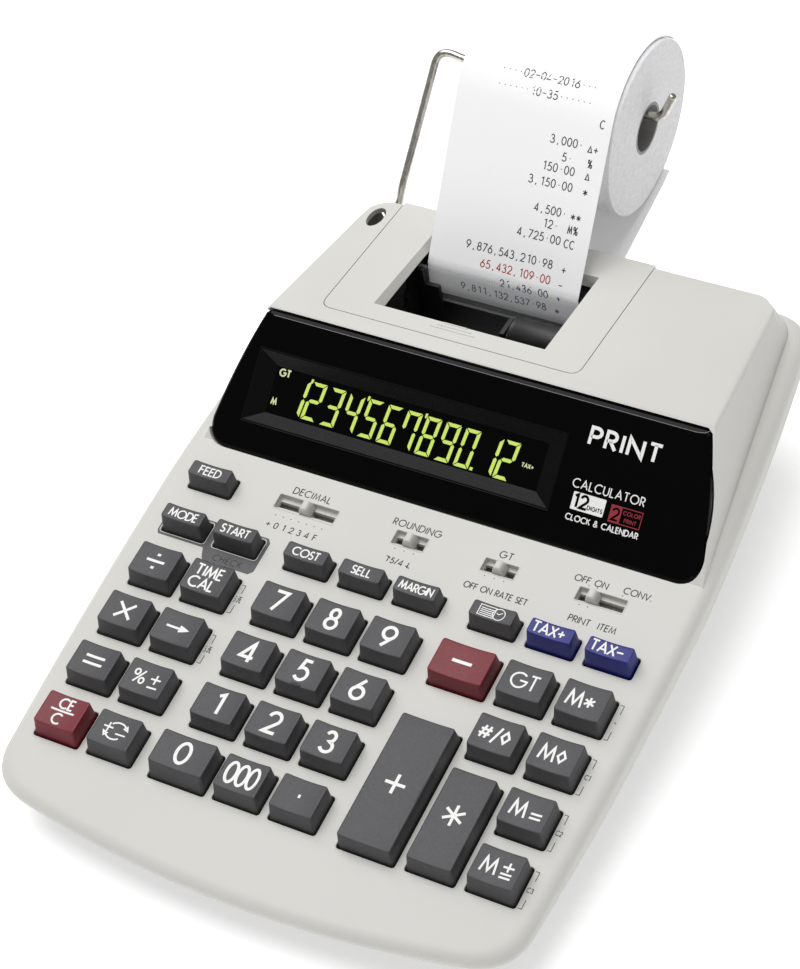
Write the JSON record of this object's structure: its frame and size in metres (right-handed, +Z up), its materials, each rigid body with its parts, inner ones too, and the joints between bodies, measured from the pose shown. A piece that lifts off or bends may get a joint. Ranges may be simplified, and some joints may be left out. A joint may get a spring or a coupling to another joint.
{
  "type": "printing desk calculator",
  "caption": "Desk calculator with a printer: tilted keyboard, slide switches, wide display panel, lift-off printer cover, paper roll on a wire holder.",
  "frame": {"origin": "on the desk, under the middle of the whole object, paper roll included", "axes": "+X to the right of the keyboard, +Y to the back, +Z up from the desk"},
  "size_m": [0.1976, 0.3288, 0.1311],
  "materials": {
    "case_light": "fine moulded texture",
    "case_dark": "fine moulded texture",
    "key_grey": "satin",
    "key_red": "satin",
    "key_blue": "satin",
    "panel_gloss": "polished",
    "display_glass": "polished",
    "black_plastic": "satin",
    "clear_plastic": "smoked clear",
    "rubber": "matt",
    "paper": "matt",
    "wire": "polished",
    "board": "satin"
  },
  "bodies": {
    "case": {"top_case": "case_light", "bottom_case": "case_dark", "display_window": "panel_gloss", "display_module": "display_glass", "tear_bar": "clear_plastic", "printer_frame": "black_plastic", "paper_holder": "wire", "paper_strip": "paper", "circuit_board": "board", "foot_front_left": "rubber", "foot_front_right": "rubber", "foot_rear_left": "rubber", "foot_rear_right": "rubber", "power_jack": "black_plastic"},
    "key_1_body": {"key_1": "key_grey"},
    "key_2_body": {"key_2": "key_grey"},
    "key_3_body": {"key_3": "key_grey"},
    "key_4_body": {"key_4": "key_grey"},
    "key_5_body": {"key_5": "key_grey"},
    "key_6_body": {"key_6": "key_grey"},
    "key_7_body": {"key_7": "key_grey"},
    "key_8_body": {"key_8": "key_grey"},
    "key_9_body": {"key_9": "key_grey"},
    "key_0_body": {"key_0": "key_grey"},
    "key_000_body": {"key_000": "key_grey"},
    "key_point_body": {"key_point": "key_grey"},
    "key_cost_body": {"key_cost": "key_grey"},
    "key_sell_body": {"key_sell": "key_grey"},
    "key_margin_body": {"key_margin": "key_grey"},
    "key_arrow_body": {"key_arrow": "key_grey"},
    "key_time_calendar_body": {"key_time_calendar": "key_grey"},
    "key_percent_body": {"key_percent": "key_grey"},
    "key_sign_swap_body": {"key_sign_swap": "key_grey"},
    "key_start_body": {"key_start": "key_grey"},
    "key_divide_body": {"key_divide": "key_grey"},
    "key_times_body": {"key_times": "key_grey"},
    "key_equals_body": {"key_equals": "key_grey"},
    "key_clear_body": {"key_clear": "key_red"},
    "key_mode_body": {"key_mode": "key_grey"},
    "key_feed_body": {"key_feed": "key_grey"},
    "key_minus_body": {"key_minus": "key_red"},
    "key_plus_body": {"key_plus": "key_grey"},
    "key_clock_body": {"key_clock": "key_grey"},
    "key_tax_plus_body": {"key_tax_plus": "key_blue"},
    "key_tax_minus_body": {"key_tax_minus": "key_blue"},
    "key_grand_total_body": {"key_grand_total": "key_grey"},
    "key_subtotal_body": {"key_subtotal": "key_grey"},
    "key_total_body": {"key_total": "key_grey"},
    "key_memory_total_body": {"key_memory_total": "key_grey"},
    "key_memory_subtotal_body": {"key_memory_subtotal": "key_grey"},
    "key_memory_minus_body": {"key_memory_minus": "key_grey"},
    "key_memory_plus_body": {"key_memory_plus": "key_grey"},
    "knob_decimal_body": {"knob_decimal": "case_light"},
    "knob_rounding_body": {"knob_rounding": "case_light"},
    "knob_grand_total_body": {"knob_grand_total": "case_light"},
    "knob_print_body": {"knob_print": "case_light"},
    "printer_cover_body": {"printer_cover": "case_light"},
    "paper_roll_body": {"paper_roll": "paper"},
    "platen_roller_body": {"platen_roller": "rubber"},
    "ink_roller_body": {"ink_roller": "rubber"}
  },
  "joints": [
    {"name": "key_1_press", "type": "slide", "parent": "case", "child": "key_1_body", "axis": [0, -0.1461, 0.9893], "range_m": [-0.0025, 0], "stiffness_N_per_m": 200},
    {"name": "key_2_press", "type": "slide", "parent": "case", "child": "key_2_body", "axis": [0, -0.1461, 0.9893], "range_m": [-0.0025, 0], "stiffness_N_per_m": 200},
    {"name": "key_3_press", "type": "slide", "parent": "case", "child": "key_3_body", "axis": [0, -0.1461, 0.9893], "range_m": [-0.0025, 0], "stiffness_N_per_m": 200},
    {"name": "key_4_press", "type": "slide", "parent": "case", "child": "key_4_body", "axis": [0, -0.1461, 0.9893], "range_m": [-0.0025, 0], "stiffness_N_per_m": 200},
    {"name": "key_5_press", "type": "slide", "parent": "case", "child": "key_5_body", "axis": [0, -0.1461, 0.9893], "range_m": [-0.0025, 0], "stiffness_N_per_m": 200},
    {"name": "key_6_press", "type": "slide", "parent": "case", "child": "key_6_body", "axis": [0, -0.1461, 0.9893], "range_m": [-0.0025, 0], "stiffness_N_per_m": 200},
    {"name": "key_7_press", "type": "slide", "parent": "case", "child": "key_7_body", "axis": [0, -0.1461, 0.9893], "range_m": [-0.0025, 0], "stiffness_N_per_m": 200},
    {"name": "key_8_press", "type": "slide", "parent": "case", "child": "key_8_body", "axis": [0, -0.1461, 0.9893], "range_m": [-0.0025, 0], "stiffness_N_per_m": 200},
    {"name": "key_9_press", "type": "slide", "parent": "case", "child": "key_9_body", "axis": [0, -0.1461, 0.9893], "range_m": [-0.0025, 0], "stiffness_N_per_m": 200},
    {"name": "key_0_press", "type": "slide", "parent": "case", "child": "key_0_body", "axis": [0, -0.1461, 0.9893], "range_m": [-0.0025, 0], "stiffness_N_per_m": 200},
    {"name": "key_000_press", "type": "slide", "parent": "case", "child": "key_000_body", "axis": [0, -0.1461, 0.9893], "range_m": [-0.0025, 0], "stiffness_N_per_m": 200},
    {"name": "key_point_press", "type": "slide", "parent": "case", "child": "key_point_body", "axis": [0, -0.1461, 0.9893], "range_m": [-0.0025, 0], "stiffness_N_per_m": 200},
    {"name": "key_cost_press", "type": "slide", "parent": "case", "child": "key_cost_body", "axis": [0, -0.1461, 0.9893], "range_m": [-0.0025, 0], "stiffness_N_per_m": 200},
    {"name": "key_sell_press", "type": "slide", "parent": "case", "child": "key_sell_body", "axis": [0, -0.1461, 0.9893], "range_m": [-0.0025, 0], "stiffness_N_per_m": 200},
    {"name": "key_margin_press", "type": "slide", "parent": "case", "child": "key_margin_body", "axis": [0, -0.1461, 0.9893], "range_m": [-0.0025, 0], "stiffness_N_per_m": 200},
    {"name": "key_arrow_press", "type": "slide", "parent": "case", "child": "key_arrow_body", "axis": [0, -0.1461, 0.9893], "range_m": [-0.0025, 0], "stiffness_N_per_m": 200},
    {"name": "key_time_calendar_press", "type": "slide", "parent": "case", "child": "key_time_calendar_body", "axis": [0, -0.1461, 0.9893], "range_m": [-0.0025, 0], "stiffness_N_per_m": 200},
    {"name": "key_percent_press", "type": "slide", "parent": "case", "child": "key_percent_body", "axis": [0, -0.1461, 0.9893], "range_m": [-0.0025, 0], "stiffness_N_per_m": 200},
    {"name": "key_sign_swap_press", "type": "slide", "parent": "case", "child": "key_sign_swap_body", "axis": [0, -0.1461, 0.9893], "range_m": [-0.0025, 0], "stiffness_N_per_m": 200},
    {"name": "key_start_press", "type": "slide", "parent": "case", "child": "key_start_body", "axis": [0, -0.1461, 0.9893], "range_m": [-0.0025, 0], "stiffness_N_per_m": 200},
    {"name": "key_divide_press", "type": "slide", "parent": "case", "child": "key_divide_body", "axis": [0, -0.1461, 0.9893], "range_m": [-0.0025, 0], "stiffness_N_per_m": 200},
    {"name": "key_times_press", "type": "slide", "parent": "case", "child": "key_times_body", "axis": [0, -0.1461, 0.9893], "range_m": [-0.0025, 0], "stiffness_N_per_m": 200},
    {"name": "key_equals_press", "type": "slide", "parent": "case", "child": "key_equals_body", "axis": [0, -0.1461, 0.9893], "range_m": [-0.0025, 0], "stiffness_N_per_m": 200},
    {"name": "key_clear_press", "type": "slide", "parent": "case", "child": "key_clear_body", "axis": [0, -0.1461, 0.9893], "range_m": [-0.0025, 0], "stiffness_N_per_m": 200},
    {"name": "key_mode_press", "type": "slide", "parent": "case", "child": "key_mode_body", "axis": [0, -0.1461, 0.9893], "range_m": [-0.0025, 0], "stiffness_N_per_m": 200},
    {"name": "key_feed_press", "type": "slide", "parent": "case", "child": "key_feed_body", "axis": [0, -0.1461, 0.9893], "range_m": [-0.0025, 0], "stiffness_N_per_m": 200},
    {"name": "key_minus_press", "type": "slide", "parent": "case", "child": "key_minus_body", "axis": [0, -0.1461, 0.9893], "range_m": [-0.0025, 0], "stiffness_N_per_m": 200},
    {"name": "key_plus_press", "type": "slide", "parent": "case", "child": "key_plus_body", "axis": [0, -0.1461, 0.9893], "range_m": [-0.0025, 0], "stiffness_N_per_m": 200},
    {"name": "key_clock_press", "type": "slide", "parent": "case", "child": "key_clock_body", "axis": [0, -0.1461, 0.9893], "range_m": [-0.0025, 0], "stiffness_N_per_m": 200},
    {"name": "key_tax_plus_press", "type": "slide", "parent": "case", "child": "key_tax_plus_body", "axis": [0, -0.1461, 0.9893], "range_m": [-0.0025, 0], "stiffness_N_per_m": 200},
    {"name": "key_tax_minus_press", "type": "slide", "parent": "case", "child": "key_tax_minus_body", "axis": [0, -0.1461, 0.9893], "range_m": [-0.0025, 0], "stiffness_N_per_m": 200},
    {"name": "key_grand_total_press", "type": "slide", "parent": "case", "child": "key_grand_total_body", "axis": [0, -0.1461, 0.9893], "range_m": [-0.0025, 0], "stiffness_N_per_m": 200},
    {"name": "key_subtotal_press", "type": "slide", "parent": "case", "child": "key_subtotal_body", "axis": [0, -0.1461, 0.9893], "range_m": [-0.0025, 0], "stiffness_N_per_m": 200},
    {"name": "key_total_press", "type": "slide", "parent": "case", "child": "key_total_body", "axis": [0, -0.1461, 0.9893], "range_m": [-0.0025, 0], "stiffness_N_per_m": 200},
    {"name": "key_memory_total_press", "type": "slide", "parent": "case", "child": "key_memory_total_body", "axis": [0, -0.1461, 0.9893], "range_m": [-0.0025, 0], "stiffness_N_per_m": 200},
    {"name": "key_memory_subtotal_press", "type": "slide", "parent": "case", "child": "key_memory_subtotal_body", "axis": [0, -0.1461, 0.9893], "range_m": [-0.0025, 0], "stiffness_N_per_m": 200},
    {"name": "key_memory_minus_press", "type": "slide", "parent": "case", "child": "key_memory_minus_body", "axis": [0, -0.1461, 0.9893], "range_m": [-0.0025, 0], "stiffness_N_per_m": 200},
    {"name": "key_memory_plus_press", "type": "slide", "parent": "case", "child": "key_memory_plus_body", "axis": [0, -0.1461, 0.9893], "range_m": [-0.0025, 0], "stiffness_N_per_m": 200},
    {"name": "knob_decimal_slide", "type": "slide", "parent": "case", "child": "knob_decimal_body", "axis": [1, 0, 0], "range_m": [-0.009, 0.009]},
    {"name": "knob_rounding_slide", "type": "slide", "parent": "case", "child": "knob_rounding_body", "axis": [1, 0, 0], "range_m": [-0.0035, 0.0035]},
    {"name": "knob_grand_total_slide", "type": "slide", "parent": "case", "child": "knob_grand_total_body", "axis": [1, 0, 0], "range_m": [-0.0035, 0.0035]},
    {"name": "knob_print_slide", "type": "slide", "parent": "case", "child": "knob_print_body", "axis": [1, 0, 0], "range_m": [-0.003, 0.009]},
    {"name": "printer_cover_lift", "type": "slide", "parent": "case", "child": "printer_cover_body", "axis": [0, 0.0606, 0.9982], "range_m": [0, 0.005]},
    {"name": "paper_roll_spin", "type": "hinge", "parent": "case", "child": "paper_roll_body", "pos_m": [-0.01638, 0.1329, 0.0968], "axis": [0.998, 0, -0.0628], "continuous": true},
    {"name": "platen_spin", "type": "hinge", "parent": "case", "child": "platen_roller_body", "pos_m": [-0.01468, 0.0783, 0.058], "axis": [1, 0, 0], "continuous": true},
    {"name": "ink_roller_spin", "type": "hinge", "parent": "case", "child": "ink_roller_body", "pos_m": [0.00532, 0.0583, 0.0575], "axis": [1, 0, 0], "continuous": true}
  ],
  "couplings": [
    {"joint": "platen_spin", "follows": "paper_roll_spin", "ratio": 4.3151}
  ]
}
